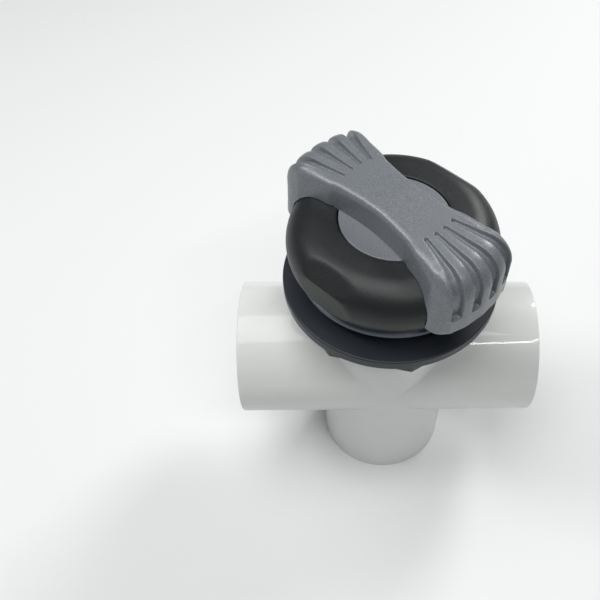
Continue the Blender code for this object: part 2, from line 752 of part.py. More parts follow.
def handle_bow():
    """The disc, the bow over the ring with its two legs, and four spring clips."""
    bow = bow_envelope("handle_bow", 0.0, BOW_BOTTOM)
    CUTTERS.objects.unlink(bow)
    PARTS.objects.link(bow)
    bow.hide_render = False
    bow.display_type = "TEXTURED"
    plan = prism("bow_plan", bow_outline(), 0.05, HANDLE)
    plan.location.z = 0.1
    combine(bow, plan, "INTERSECT")
    room = GAP + 0.0001
    shoulder = [
        (radius, height)
        for radius, height in ring_outline(room)
        if radius > RING_CENTRE + 0.002 and height >= RING_MIDDLE
    ]
    side_radius = RING_CENTRE + RING_SECTION + room
    bottom = BOW_BOTTOM - 0.018
    under_disc = DISC_TOP - GAP
    under = [
        (0.0, under_disc),
        (RING_INNER, under_disc),
        *shoulder,
        (side_radius, RING_MIDDLE),
        (side_radius, bottom),
        (0.0, bottom),
    ]
    ring_space = turned("ring_space_cut", under, HANDLE, FINE, helper=True)
    cut(bow, ring_space)
    disc = rod("bow_disc", DISC_RADIUS, DISC_BOTTOM, DISC_TOP, HANDLE, segments=FINE)
    join(bow, disc)
    cut(bow, *groove_cutters())
    length = DISC_BOTTOM + PASS - CLIP_BOTTOM
    hook_thickness = 0.0010
    for index, angle in enumerate(clip_angles(), 1):
        post_size = (CLIP_THICKNESS, CLIP_WIDTH, length)
        post_place = (CLIP_RADIUS, 0.0, CLIP_BOTTOM + length / 2)
        post = block(f"clip_post_{index}", post_size, post_place, HANDLE, angle)
        hook_place = (CLIP_RADIUS + 0.0015, 0.0, CLIP_BOTTOM + hook_thickness / 2)
        hook = block(f"clip_hook_{index}", (0.0030, CLIP_WIDTH, hook_thickness), hook_place, HANDLE, angle)
        join(post, hook)
        join(bow, post)
    return finish(bow, GREY)


def screw(name, head_radius, head_low, head_high, shank_radius, tip, at, parent):
    """A pan-head screw with a cross slot. Its head is at the end away from the tip."""
    head = rod(name, head_radius, head_low, head_high, parent, segments=16, at=at, helper=False)
    upward = tip > head_high
    low, high = (head_high - OVERLAP, tip) if upward else (tip, head_low + OVERLAP)
    shank = rod(name + "_shank", shank_radius, low, high, parent, segments=12, at=at)
    join(head, shank)
    face = head_low if upward else head_high
    for index, size in enumerate(((1.1 * head_radius, 0.0006), (0.0006, 1.1 * head_radius))):
        slot = block(f"{name}_slot_{index}", (*size, 0.0014), (*at, face), parent)
        cut(head, slot)
    return finish(head, STEEL)


def ring_screws():
    head_low = RIM_BOTTOM + 0.0001
    for index, at in enumerate(ring_screw_places(), 1):
        screw(f"ring_screw_{index}", 0.0026, head_low, head_low + 0.0014, 0.0014, 0.0905, at, HANDLE)


def stem_fastening():
    washer("stem_screw_washer", 0.0024, 0.006, TOWER_TOP + GAP, TOWER_TOP + 0.0011, HANDLE, STEEL, SMALL)
    low = TOWER_TOP + 0.0014
    screw("stem_screw", 0.0042, low, low + 0.0024, 0.0020, 0.0865, (0.0, 0.0), HANDLE)


def build():
    valve_body()
    union_nut()
    washer("slip_washer", 0.0392, 0.0430, 0.0635, 0.0643, CARTRIDGE, LOW_FRICTION)
    split_ring("nut_retaining_ring", 0.0361, 0.0402, 0.0679, 0.0691, 0.006, CARTRIDGE)
    bonnet()
    o_ring("bonnet_o_ring", 0.0363, 0.0014, 0.0556, CARTRIDGE)
    stem()
    o_ring("stem_o_ring_lower", 0.00806, 0.0009, 0.0548, HANDLE, SMALL)
    o_ring("stem_o_ring_upper", 0.00806, 0.0009, 0.0643, HANDLE, SMALL)
    washer("stem_thrust_washer", 0.0094, 0.0137, 0.0453, 0.0457, HANDLE, LOW_FRICTION, SMALL)
    split_ring("stem_circlip", 0.0079, 0.0115, 0.0745, 0.0755, 0.004, HANDLE)
    gate()
    gate_seal()
    washer("gate_thrust_ring", 0.0262, 0.0312, -0.0315, -0.0298, GATE_FRAME, LOW_FRICTION)
    handle_base()
    grip_ring()
    handle_bow()
    ring_screws()
    stem_fastening()


build()
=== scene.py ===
"""Looks of the three-way diverter valve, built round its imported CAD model.

Metres, in the CAD model's frame: +Z is the handle's axis, +X the run, and the floor is at zero.
Heights in the shapes are above the run's axis, as in the CAD model.
"""

import json
import math

import bmesh
import bpy
import numpy as np
from mathutils import Matrix, Vector


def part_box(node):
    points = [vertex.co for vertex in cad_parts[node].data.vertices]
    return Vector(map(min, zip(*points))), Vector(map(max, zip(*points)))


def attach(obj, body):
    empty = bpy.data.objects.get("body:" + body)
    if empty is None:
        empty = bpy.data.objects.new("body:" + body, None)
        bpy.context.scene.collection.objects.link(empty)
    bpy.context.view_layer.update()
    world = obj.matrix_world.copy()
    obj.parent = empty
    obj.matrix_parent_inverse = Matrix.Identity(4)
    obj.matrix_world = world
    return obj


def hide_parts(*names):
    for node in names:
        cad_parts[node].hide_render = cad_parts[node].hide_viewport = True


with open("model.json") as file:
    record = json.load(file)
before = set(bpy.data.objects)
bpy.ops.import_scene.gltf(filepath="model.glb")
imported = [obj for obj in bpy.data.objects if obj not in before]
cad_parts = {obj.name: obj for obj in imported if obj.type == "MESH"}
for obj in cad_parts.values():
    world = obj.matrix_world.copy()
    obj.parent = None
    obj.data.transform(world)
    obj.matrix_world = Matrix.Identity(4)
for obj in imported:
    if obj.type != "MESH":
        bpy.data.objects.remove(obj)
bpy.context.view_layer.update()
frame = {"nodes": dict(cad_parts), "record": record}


def stated_opening(name):
    boxes = frame["record"]["physics"]["openings"]
    return next(entry["box_m"] for entry in boxes if entry["name"] == name)


# Sizes read from the frame
SOCKET_BOX = stated_opening("right_socket")
AXIS_HEIGHT = (SOCKET_BOX[0][2] + SOCKET_BOX[1][2]) / 2
RUN_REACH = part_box("valve_body")[1].x
NECK_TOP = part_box("valve_body")[1].z - AXIS_HEIGHT
NUT_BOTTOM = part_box("union_nut")[0].z - AXIS_HEIGHT
NUT_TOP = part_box("union_nut")[1].z - AXIS_HEIGHT
NUT_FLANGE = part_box("union_nut")[1].x
RING_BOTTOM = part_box("grip_ring")[0].z - AXIS_HEIGHT
BOW_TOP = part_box("handle_bow")[1].z - AXIS_HEIGHT

# Valve body
PIPE_RADIUS = 0.0365
SOCKET_RADIUS = 0.03015
SOCKET_DEPTH = 0.038
SOCKET_TAPER = 0.00015
BORE_RADIUS = 0.025
CHAMBER_RADIUS = 0.032
CHAMBER_FLOOR = -0.0318
NECK_RADIUS = 0.043
NECK_CONE_FOOT = 0.040
NECK_CONE_TOP = 0.046
PLUG_SEAT = 0.0497
PLUG_BORE = 0.038
JUNCTION_ROUNDING = 0.0028
JUNCTION_REACH = 0.009  # of the closely spaced rows beside the junction
RIM_ROUNDING = 0.0006
NECK_ROUNDING = 0.0006
SEAT_ROUNDING = 0.0004
SHOULDER_ROUNDING = 0.0003
KEY_NOTCH = ((0.010, 0.006, 0.005), 0.0362)  # size, and distance from the axis

# Threads
PITCH = 0.005
RIDGE_HEIGHT = 0.0016
RIDGE_BASE = 0.0024  # the ridge's width at its foot and at its crest
RIDGE_CREST = 0.0012
RIDGE_FADE = math.radians(20)
NECK_THREAD = (0.0495, 1.7)  # start height and turns
NUT_THREAD = (0.0570, 1.1)

# Union nut
NUT_CORNER = 0.053
NUT_CORNER_ANGLE = math.radians(-81)
NUT_CORNER_ROUNDING = 0.0007
NUT_EDGE = 0.0008
NUT_SMALL_EDGE = 0.0005
NUT_FLANGE_BOTTOM = 0.0616
NUT_LIP_BOTTOM = 0.0646
NUT_OPENING = 0.0385
NUT_THREAD_ROOT = 0.0453

# Handle
HANDLE_ANGLE = math.radians(-47.5)
BASE_BOTTOM = 0.0757
BASE_RECESS = 0.0773
BASE_TOP = 0.0786
BASE_RIM = 0.0467
HUB_RADIUS = 0.0135
HUB_TOP = 0.098
STEM_HOLE = 0.0075
SCREW_CIRCLE = 0.037
SCREW_HOLE = 0.0018
SCREW_HEAD_HOLE = 0.0031
SCREW_SEAT = 0.0775
CLIP_FOOT = 0.0744
RING_CENTRE = 0.0361  # of the ring's round section: distance from the axis, height and radius
RING_MIDDLE = 0.0923
RING_SECTION = 0.0152
RING_WALL = 0.003
RING_INNER = 0.027
RING_LIP_DIP = 0.0001
POST_RADIUS = 0.0036
POST_BORE = 0.0017
POST_TOP = 0.1045
THUMB_FLAT_DEPTH = 0.00145
THUMB_FLAT_REACH = 0.0490  # of the upright facet under the sloping one
THUMB_FLAT_ANGLES = (math.radians(95), math.radians(-85))
THUMB_FLAT_ROUNDING = (0.0002, 0.0006)  # between its facets, and at its outline
DISC_RADIUS = 0.0264
DISC_BOTTOM = 0.1035
DISC_TOP = 0.1070
BOW_CROWN = 0.0009
BOW_REACH = 0.0572
BOW_BOTTOM = 0.0872
BOW_CORNER = 0.0128
BOW_TOP_ROWS = 120
BOW_CORNER_ROWS = 44
BOW_LEG_ROWS = 60
BOW_WAIST = 0.0129  # half the width in the middle, and how much is added at the ends
BOW_FLARE = 0.0075
BOW_FLARE_REACH = 0.0476
BOW_DRAFT = (0.11, 0.16)  # slope of the sides in the middle and at the ends, as are the next pairs
BOW_EDGE_WIDTH = (0.0030, 0.0054)
BOW_EDGE_DROP = (0.0030, 0.0075)
BOW_GAP = 0.0004  # between the bow and the ring
BOW_LEG_ZONE = (0.030, 0.052)  # where the top's edges and grooves turn into the legs
BOW_BEND_ZONE = (0.020, 0.034)  # where the sections begin to curve round the axis
BOW_FOOT_ZONE = (0.045, 0.050)
BOW_FOOT_CORNER = 0.0032
BOW_FOOT_ROUNDING = 0.0012
BOW_ROOT = 0.0016  # how far the bow goes down into the disc
BOW_ROOT_ZONE = (0.0230, 0.0260)
RIB_CROWN = 0.0009
GROOVE_DEPTH = (0.0015, 0.0026)
GROOVE_HALF_WIDTH = (0.0011, 0.0027)
GROOVE_WALL = 0.0005
GROOVE_LIP = 0.0004
GROOVE_START = 0.0262
GROOVE_BOTTOM = 0.0962
GROOVE_SPREAD = math.radians(9.9)
GROOVE_ORIGIN = 0.0052  # the grooves fan out from a point this far beyond the axis
GROOVE_RUN_OUT = 0.0010
GROOVE_END_WIDTH = 0.55


def smoothstep(value, low, high):
    share = np.clip((np.asarray(value, float) - low) / (high - low), 0.0, 1.0)
    return share * share * (3 - 2 * share)


def between(pair, share):
    return pair[0] + (pair[1] - pair[0]) * share


def xyz(x, y, z):
    """Points from coordinates, any of which may be the same for a whole row."""
    return np.stack(np.broadcast_arrays(x, y, z), axis=-1)


def soft_min(first, second, blend):
    """The smaller of two values, rounded off where they are within blend of each other."""
    near = np.maximum(blend - np.abs(first - second), 0.0) / np.maximum(blend, 1e-9)
    return np.minimum(first, second) - near * near * blend / 4


# Materials


def principled(name, colour, roughness, metallic=0.0, coat=0.0, coat_roughness=0.1, specular=0.5):
    made = bpy.data.materials.new(name)
    made.use_nodes = True
    shader = made.node_tree.nodes["Principled BSDF"]
    shader.inputs["Base Color"].default_value = (*colour, 1.0)
    shader.inputs["Roughness"].default_value = roughness
    shader.inputs["Metallic"].default_value = metallic
    shader.inputs["Coat Weight"].default_value = coat
    shader.inputs["Coat Roughness"].default_value = coat_roughness
    shader.inputs["Specular IOR Level"].default_value = specular
    return made, made.node_tree, shader


def noise(tree, scale, detail=2.0, roughness=0.5, stretch=(1.0, 1.0, 1.0)):
    """A noise over the object's own coordinates, in features per metre."""
    nodes, links = tree.nodes, tree.links
    place = nodes.new("ShaderNodeTexCoord")
    mapping = nodes.new("ShaderNodeMapping")
    mapping.inputs["Scale"].default_value = stretch
    texture = nodes.new("ShaderNodeTexNoise")
    texture.inputs["Scale"].default_value = scale
    texture.inputs["Detail"].default_value = detail
    texture.inputs["Roughness"].default_value = roughness
    links.new(place.outputs["Object"], mapping.inputs["Vector"])
    links.new(mapping.outputs["Vector"], texture.inputs["Vector"])
    return texture.outputs["Fac"]


def remap(tree, value, low, high):
    """Spreads a noise, whose values mostly lie from 0.3 to 0.7, over another range."""
    change = tree.nodes.new("ShaderNodeMapRange")
    change.inputs["From Min"].default_value = 0.3
    change.inputs["From Max"].default_value = 0.7
    change.inputs["To Min"].default_value = low
    change.inputs["To Max"].default_value = high
    tree.links.new(value, change.inputs["Value"])
    return change.outputs["Result"]


def colour_between(tree, value, first, second):
    mix = tree.nodes.new("ShaderNodeMix")
    mix.data_type = "RGBA"
    mix.inputs[6].default_value = (*first, 1.0)
    mix.inputs[7].default_value = (*second, 1.0)
    tree.links.new(value, mix.inputs[0])
    return mix.outputs[2]


def bump(tree, height, distance, under=None):
    node = tree.nodes.new("ShaderNodeBump")
    node.inputs["Distance"].default_value = distance
    node.inputs["Strength"].default_value = 1.0
    tree.links.new(height, node.inputs["Height"])
    if under is not None:
        tree.links.new(under, node.inputs["Normal"])
    return node.outputs["Normal"]


def scaled(colour, share):
    return tuple(channel * share for channel in colour)


def moulded(name, colour, roughness, grain, depth, contrast=0.12, **gloss):
    """Moulded plastic: a fine spark-eroded grain, with slight clouding of its tone and gloss."""
    made, tree, shader = principled(name, colour, roughness, **gloss)
    fine = noise(tree, grain, 3.0, 0.6)
    cloud = noise(tree, 45.0, 2.0)
    tone = remap(tree, fine, 0.0, 1.0)
    blend = colour_between(tree, tone, scaled(colour, 1 - contrast), scaled(colour, 1 + contrast))
    gloss_change = remap(tree, cloud, roughness - 0.04, roughness + 0.04)
    tree.links.new(blend, shader.inputs["Base Color"])
    tree.links.new(gloss_change, shader.inputs["Roughness"])
    broad = bump(tree, noise(tree, grain / 2.6, 2.0), depth)
    tree.links.new(bump(tree, fine, depth, under=broad), shader.inputs["Normal"])
    return made


def pipe_plastic():
    """Glossy off-white pipe plastic: hardly any texture, faint clouding and moulding waves."""
    colour = (0.705, 0.716, 0.70)
    gloss = {"coat": 0.5, "coat_roughness": 0.03, "specular": 0.3}
    made, tree, shader = principled("white_pvc", colour, 0.4, **gloss)
    tone = remap(tree, noise(tree, 28.0, 3.0), 0.0, 1.0)
    blend = colour_between(tree, tone, scaled(colour, 0.975), scaled(colour, 1.02))
    tree.links.new(blend, shader.inputs["Base Color"])
    tree.links.new(remap(tree, noise(tree, 160.0), 0.36, 0.44), shader.inputs["Roughness"])
    tree.links.new(bump(tree, noise(tree, 60.0, 1.0), 0.00004), shader.inputs["Normal"])
    return made


def turned_steel():
    made, tree, shader = principled("steel", (0.62, 0.62, 0.6), 0.28, metallic=1.0)
    streaks = noise(tree, 600.0, 3.0, stretch=(1.0, 1.0, 6.0))
    tree.links.new(remap(tree, streaks, 0.2, 0.38), shader.inputs["Roughness"])
    tree.links.new(bump(tree, streaks, 0.00001), shader.inputs["Normal"])
    return made


LOOKS = {
    "white_pvc": pipe_plastic(),
    "nut_black": moulded("nut_black", (0.022, 0.026, 0.033), 0.40, 1800.0, 8e-6, specular=0.35),
    "ring_black": moulded("ring_black", (0.014, 0.0152, 0.016), 0.42, 1900.0, 5e-5, 0.4, specular=0.38),
    "bow_grey": moulded("bow_grey", (0.150, 0.162, 0.176), 0.32, 1700.0, 5e-5, 0.3, specular=0.7),
    "grey_trim": moulded("grey_trim", (0.105, 0.126, 0.165), 0.36, 1500.0, 1e-5, 0.05),
    "inner_black": moulded("inner_black", (0.012, 0.012, 0.013), 0.4, 1300.0, 1e-5),
    "rubber_seals": moulded("rubber_seals", (0.01, 0.01, 0.01), 0.7, 3000.0, 2e-5),
    "low_friction": moulded("low_friction", (0.75, 0.75, 0.72), 0.4, 900.0, 1e-5, 0.02),
    "steel": turned_steel(),
}


# Mesh tools


def new_object(name, data):
    made = bpy.data.objects.new(name, data)
    bpy.context.scene.collection.objects.link(made)
    return made


def skin_object(name, points, wrap_rows=False):
    """A mesh of quads over rows of points, each of which closes on itself."""
    rows, columns = points.shape[:2]
    index = np.arange(rows * columns).reshape(rows, columns)
    index = np.hstack([index, index[:, :1]])
    if wrap_rows:
        index = np.vstack([index, index[:1]])
    corners = [index[:-1, :-1], index[:-1, 1:], index[1:, 1:], index[1:, :-1]]
    faces = np.stack(corners, axis=-1).reshape(-1, 4)
    mesh = bpy.data.meshes.new(name)
    mesh.from_pydata(points.reshape(-1, 3).tolist(), [], faces.tolist())
    return new_object(name, mesh)


def weld(made, fill=False):
    """Merges points that lie together, fills the open ends if asked, and turns the faces outward."""
    shape = bmesh.new()
    shape.from_mesh(made.data)
    bmesh.ops.remove_doubles(shape, verts=shape.verts, dist=1e-7)
    if fill:
        bmesh.ops.holes_fill(shape, edges=[edge for edge in shape.edges if edge.is_boundary])
    bmesh.ops.recalc_face_normals(shape, faces=shape.faces)
    shape.to_mesh(made.data)
    shape.free()
    return made


def rounded(corners, closed=False, arc_step=math.radians(15), support=0.35):
    """A profile whose corners (radius, height, rounding) become arcs with a support point on each side."""
    points = []
    count = len(corners)
    for index, (radius, height, rounding) in enumerate(corners):
        here = np.array((radius, height))
        inside = closed or 0 < index < count - 1
        if not inside or rounding <= 0:
            points.append(here)
            continue
        before = np.array(corners[index - 1][:2]) - here
        after = np.array(corners[(index + 1) % count][:2]) - here
        room = 0.49 * min(np.linalg.norm(before), np.linalg.norm(after))
        before, after = before / np.linalg.norm(before), after / np.linalg.norm(after)
        half = math.acos(float(np.clip(before @ after, -1, 1))) / 2
        tangent = min(rounding / math.tan(half), room)
        size = tangent * math.tan(half)
        middle = (before + after) / np.linalg.norm(before + after)
        centre = here + middle * size / math.sin(half)
        first = here + before * tangent - centre
        last = here + after * tangent - centre
        sweep = math.pi - 2 * half
        steps = max(2, math.ceil(sweep / arc_step))
        points.append(here + before * min(tangent + support * size, room * 2))
        for step in range(steps + 1):
            share = step / steps
            low = math.sin((1 - share) * sweep) / math.sin(sweep)
            high = math.sin(share * sweep) / math.sin(sweep)
            points.append(centre + first * low + last * high)
        points.append(here + after * min(tangent + support * size, room * 2))
    return np.array(points)


def lathe_points(profile, angles, move=None):
    """Points of a turned shape, rows down the profile; move(angle, radius, height) may shift them."""
    radius = np.repeat(profile[:, :1], len(angles), axis=1)
    height = np.repeat(profile[:, 1:2], len(angles), axis=1)
    around = np.repeat(angles[None, :], len(profile), axis=0)
    if move is not None:
        radius, height = move(around, radius, height)
    return xyz(radius * np.cos(around), radius * np.sin(around), height + AXIS_HEIGHT)


def even_angles(columns, start=0.0):
    return start + 2 * math.pi * np.arange(columns) / columns


def lathe(name, profile, angles, closed=False, move=None):
    return weld(skin_object(name, lathe_points(profile, angles, move), wrap_rows=closed))


def cylinder_cutter(name, radius, low, high, at=(0.0, 0.0), columns=48):
    profile = np.array([(0.0, high), (radius, high), (radius, low), (0.0, low)])
    made = lathe(name, profile, even_angles(columns))
    made.location = (*at, 0.0)
    return made


def box_cutter(name, size, centre, angle=0.0):
    shape = bmesh.new()
    bmesh.ops.create_cube(shape, size=1.0)
    place = Matrix.Rotation(angle, 4, "Z") @ Matrix.Translation(centre)
    place = Matrix.Translation((0, 0, AXIS_HEIGHT)) @ place @ Matrix.Diagonal((*size, 1.0))
    bmesh.ops.transform(shape, matrix=place, verts=shape.verts)
    mesh = bpy.data.meshes.new(name)
    shape.to_mesh(mesh)
    shape.free()
    return new_object(name, mesh)


def carve(piece, *tools, operation="DIFFERENCE"):
    """Applies exact Booleans in turn and removes the tools."""
    for tool in tools:
        change = piece.modifiers.new(tool.name, "BOOLEAN")
        change.operation = operation
        change.object = tool
    bpy.context.view_layer.update()
    graph = bpy.context.evaluated_depsgraph_get()
    mesh = bpy.data.meshes.new_from_object(piece.evaluated_get(graph))
    piece.modifiers.clear()
    piece.data = mesh
    for tool in tools:
        bpy.data.objects.remove(tool)
    return piece


def dress(piece, look, body, node=None, sharp=35.0):
    """Shading, material, body and the CAD node that the piece stands for."""
    piece.data.materials.clear()
    piece.data.materials.append(LOOKS[look])
    piece.data.shade_smooth()
    piece.data.set_sharp_from_angle(angle=math.radians(sharp))
    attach(piece, body)
    if node:
        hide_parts(node)
    return piece


def thread_ridge(start, turns, angle, height):
    """How far a thread's ridge stands out, from 0 to 1, at an angle and height."""
    end = 2 * math.pi * turns
    turned = np.mod(angle, 2 * math.pi)
    out = np.zeros_like(height)
    for lap in range(math.ceil(turns)):
        travel = turned + 2 * math.pi * lap
        offset = np.abs(height - start - PITCH * travel / (2 * math.pi))
        flank = 1 - smoothstep(offset, RIDGE_CREST / 2, RIDGE_BASE / 2)
        ends = smoothstep(travel, 0.0, RIDGE_FADE) * (1 - smoothstep(travel, end - RIDGE_FADE, end))
        out = np.maximum(out, flank * ends)
    return out


# Valve body


def upright_radius(height):
    """The outside of the upright: a pipe that widens to the threaded neck."""
    share = np.clip((height - NECK_CONE_FOOT) / (NECK_CONE_TOP - NECK_CONE_FOOT), 0.0, 1.0)
    return PIPE_RADIUS + (NECK_RADIUS - PIPE_RADIUS) * share


def tee_distance(points):
    """Signed distance to the tee's outside, with a rolling fillet where run and upright meet."""
    x, y, z = points[..., 0], points[..., 1], points[..., 2]
    around_run = np.sqrt(y * y + z * z)
    around_upright = np.sqrt(x * x + y * y)
    run = around_run - PIPE_RADIUS
    upright = around_upright - upright_radius(z)
    alike = y * y / np.maximum(around_run * around_upright, 1e-9)
    return soft_min(run, upright, JUNCTION_ROUNDING * (1 - alike))


def settle(points, rounds=6, step=1e-6):
    """Moves points along the distance's slope until they lie on the tee's outside."""
    for _ in range(rounds):
        value = tee_distance(points)
        slope = np.stack(
            [(tee_distance(points + step * axis) - value) / step for axis in np.eye(3)], axis=-1
        )
        size = np.maximum((slope * slope).sum(-1), 0.25)
        points = points - slope * (value / size)[..., None]
    return points


def arm_rows(reach, crease, fine_until, rows):
    """Distances along an arm from the crease: close together at the fillet, then even."""
    near = crease + np.linspace(0.0, fine_until, 13)[:, None]
    far = np.linspace(0.0, 1.0, rows + 1)[1:, None]
    return np.vstack([near, near[-1:] + (reach - near[-1:]) * far])


def tee_arm(name, reach, place, columns=256):
    """One arm of the tee's outside, from its crease to its rim, with a rounded rim edge."""
    beta = even_angles(columns)
    side, front = PIPE_RADIUS * np.sin(beta), PIPE_RADIUS * np.cos(beta)
    length = reach - RIM_ROUNDING
    along = arm_rows(length, np.abs(side), JUNCTION_REACH, 10)
    rim = []
    for turn in np.linspace(0.0, math.pi / 2, 6)[1:]:
        share = 1 - RIM_ROUNDING * (1 - math.cos(turn)) / PIPE_RADIUS
        rim.append(place(length + RIM_ROUNDING * math.sin(turn), side * share, front * share))
    flat = 1 - 1.6 * RIM_ROUNDING / PIPE_RADIUS
    rim.append(place(reach, side * flat, front * flat))
    points = np.concatenate([settle(place(along, side, front)), np.stack(rim)])
    points[..., 2] += AXIS_HEIGHT
    return skin_object(name, points)


def neck(name, columns=256):
    """The upper arm: fillet, cone and threaded neck."""
    beta = even_angles(columns)
    side, front = np.sin(beta), np.cos(beta)
    fillet = arm_rows(NECK_CONE_FOOT - 0.0006, PIPE_RADIUS * np.abs(side), 0.0034, 3)
    cone = np.linspace(NECK_CONE_FOOT, NECK_CONE_TOP, 7)
    thread_zone = np.linspace(NECK_CONE_TOP + 0.0005, NECK_TOP - NECK_ROUNDING, 66)
    upper = np.repeat(np.concatenate([cone, thread_zone])[:, None], columns, axis=1)
    along = np.vstack([fillet, upper])
    radius = upright_radius(along)
    points = xyz(radius * side, radius * front, along)
    below = along < NECK_CONE_TOP - 0.0001
    points = np.where(below[..., None], settle(points), points)
    angle = np.arctan2(points[..., 1], points[..., 0])
    ridge = RIDGE_HEIGHT * thread_ridge(*NECK_THREAD, angle, points[..., 2])
    points = points + np.where(below, 0.0, ridge)[..., None] * xyz(side, front, 0.0)
    top = []
    for turn in np.linspace(0.0, math.pi / 2, 5)[1:]:
        reach = NECK_RADIUS - NECK_ROUNDING * (1 - math.cos(turn))
        height = NECK_TOP - NECK_ROUNDING + NECK_ROUNDING * math.sin(turn)
        top.append(xyz(reach * side, reach * front, height))
    points = np.concatenate([points, np.stack(top)])
    points[..., 2] += AXIS_HEIGHT
    return skin_object(name, points)


def socket_bore(name, reach, turn):
    """The cutter for a port: chamfered mouth, socket, shoulder and bore, down to the tee's middle."""
    shoulder = reach - SOCKET_DEPTH
    outside = reach + 0.002
    corners = [
        (0.0, outside, 0.0),
        (SOCKET_RADIUS + 0.0026, outside, 0.0),
        (SOCKET_RADIUS + 0.0006, reach, 0.0),
        (SOCKET_RADIUS, reach - 0.0009, 0.0),
        (SOCKET_RADIUS - SOCKET_TAPER, shoulder, SHOULDER_ROUNDING),
        (BORE_RADIUS, shoulder, SEAT_ROUNDING),
        (BORE_RADIUS, 0.0, 0.0),
        (0.0, 0.0, 0.0),
    ]
    made = lathe(name, rounded(corners), even_angles(192))
    made.data.transform(Matrix.Translation((0, 0, -AXIS_HEIGHT)))
    made.data.transform(turn)
    made.data.transform(Matrix.Translation((0, 0, AXIS_HEIGHT)))
    return made


def valve_body():
    """Four arms joined along their creases, closed at the ends and bored out."""
    arms = [
        tee_arm("arm_right", RUN_REACH, lambda along, side, front: xyz(along, front, side)),
        tee_arm("arm_left", RUN_REACH, lambda along, side, front: xyz(-along, front, side)),
        tee_arm("arm_down", AXIS_HEIGHT, lambda along, side, front: xyz(side, front, -along)),
        neck("arm_up"),
    ]
    shape = bmesh.new()
    for arm in arms:
        shape.from_mesh(arm.data)
    body = arms[0]
    shape.to_mesh(body.data)
    shape.free()
    for arm in arms[1:]:
        bpy.data.objects.remove(arm)
    weld(body, fill=True)
    above = NECK_TOP + 0.001
    chamber = [
        (0.0, above, 0.0),
        (PLUG_BORE, above, 0.0),
        (PLUG_BORE, PLUG_SEAT, SEAT_ROUNDING),
        (CHAMBER_RADIUS, PLUG_SEAT, SEAT_ROUNDING),
        (CHAMBER_RADIUS, CHAMBER_FLOOR, 0.0008),
        (0.0, CHAMBER_FLOOR, 0.0),
    ]
    quarter = math.pi / 2
    notch_size, notch_reach = KEY_NOTCH
    carve(
        body,
        lathe("chamber", rounded(chamber), even_angles(192)),
        socket_bore("bore_right", RUN_REACH, Matrix.Rotation(quarter, 4, "Y")),
        socket_bore("bore_left", RUN_REACH, Matrix.Rotation(-quarter, 4, "Y")),
        socket_bore("bore_down", AXIS_HEIGHT, Matrix.Rotation(math.pi, 4, "X")),
        box_cutter("key_notch", notch_size, (notch_reach, 0.0, NECK_TOP), -quarter),
    )
    body.name = "body_shell"
    return dress(body, "white_pvc", "body", "valve_body", sharp=28.0)


# Union nut


def octagon_radius(angle):
    """The radius of the nut's octagon, with slightly rounded corners."""
    sector = math.pi / 4
    local = np.mod(angle - NUT_CORNER_ANGLE, sector)
    apothem = NUT_CORNER * math.cos(sector / 2)
    here = apothem / np.cos(local - sector / 2)
    before = apothem / np.cos(np.minimum(local + sector / 2, 1.2))
    after = apothem / np.cos(np.minimum(sector * 1.5 - local, 1.2))
    return soft_min(soft_min(here, before, NUT_CORNER_ROUNDING), after, NUT_CORNER_ROUNDING)


def nut_angles(steps=36):
    """Angles that crowd together at the octagon's corners."""
    share = np.arange(steps) / steps
    eased = share - 0.85 * np.sin(2 * math.pi * share) / (2 * math.pi)
    sector = math.pi / 4
    return np.concatenate([NUT_CORNER_ANGLE + sector * (index + eased) for index in range(8)])


def union_nut():
    """A round flange over an octagon skirt, with a lip at the top and a thread inside."""
    far = 0.060  # stands for the octagon until shape() gives it its radius
    outline = rounded(
        [
            (NUT_OPENING, NUT_TOP, NUT_SMALL_EDGE),
            (NUT_FLANGE, NUT_TOP, NUT_EDGE),
            (NUT_FLANGE, NUT_FLANGE_BOTTOM, NUT_SMALL_EDGE),
            (NUT_FLANGE - 0.0024, NUT_FLANGE_BOTTOM, 0.0),
        ]
    )
    skirt = [(far, NUT_FLANGE_BOTTOM), (far, NUT_FLANGE_BOTTOM - 0.0004)]
    wall = np.linspace(NUT_FLANGE_BOTTOM - 0.001, NUT_BOTTOM + 0.0011, 6)
    skirt += [(far, height) for height in wall]
    for turn in np.linspace(0.0, math.pi / 2, 6):
        inset = NUT_EDGE * (1 - math.cos(turn))
        skirt.append((far - inset, NUT_BOTTOM + NUT_EDGE - NUT_EDGE * math.sin(turn)))
    skirt.append((far - 1.6 * NUT_EDGE, NUT_BOTTOM))
    thread_zone = np.linspace(NUT_BOTTOM + 0.0013, NUT_LIP_BOTTOM - 0.0006, 50)
    bore = [(NUT_THREAD_ROOT + 0.0012, NUT_BOTTOM), (NUT_THREAD_ROOT, NUT_BOTTOM + 0.0010)]
    bore += [(NUT_THREAD_ROOT, height) for height in thread_zone]
    bore += [(NUT_THREAD_ROOT, NUT_LIP_BOTTOM), (NUT_OPENING, NUT_LIP_BOTTOM)]
    profile = np.vstack([outline, skirt, bore])

    def shape(angle, radius, height):
        octagon = octagon_radius(angle)
        radius = np.where(radius > NUT_FLANGE + 0.001, octagon + radius - far, radius)
        inside = (np.abs(radius - NUT_THREAD_ROOT) < 1e-6) & (height < NUT_LIP_BOTTOM - 0.0001)
        ridge = RIDGE_HEIGHT * thread_ridge(*NUT_THREAD, angle, height)
        return np.where(inside, radius - ridge, radius), height

    nut = lathe("nut_shell", profile, nut_angles(), closed=True, move=shape)
    return dress(nut, "nut_black", "nut", "union_nut", sharp=40.0)


# Handle


def handle_angles(columns):
    return even_angles(columns, HANDLE_ANGLE)


def section_arc(radius, turns):
    """Points of an arc round the middle of the ring's section."""
    return np.stack([RING_CENTRE + radius * np.cos(turns), RING_MIDDLE + radius * np.sin(turns)], -1)


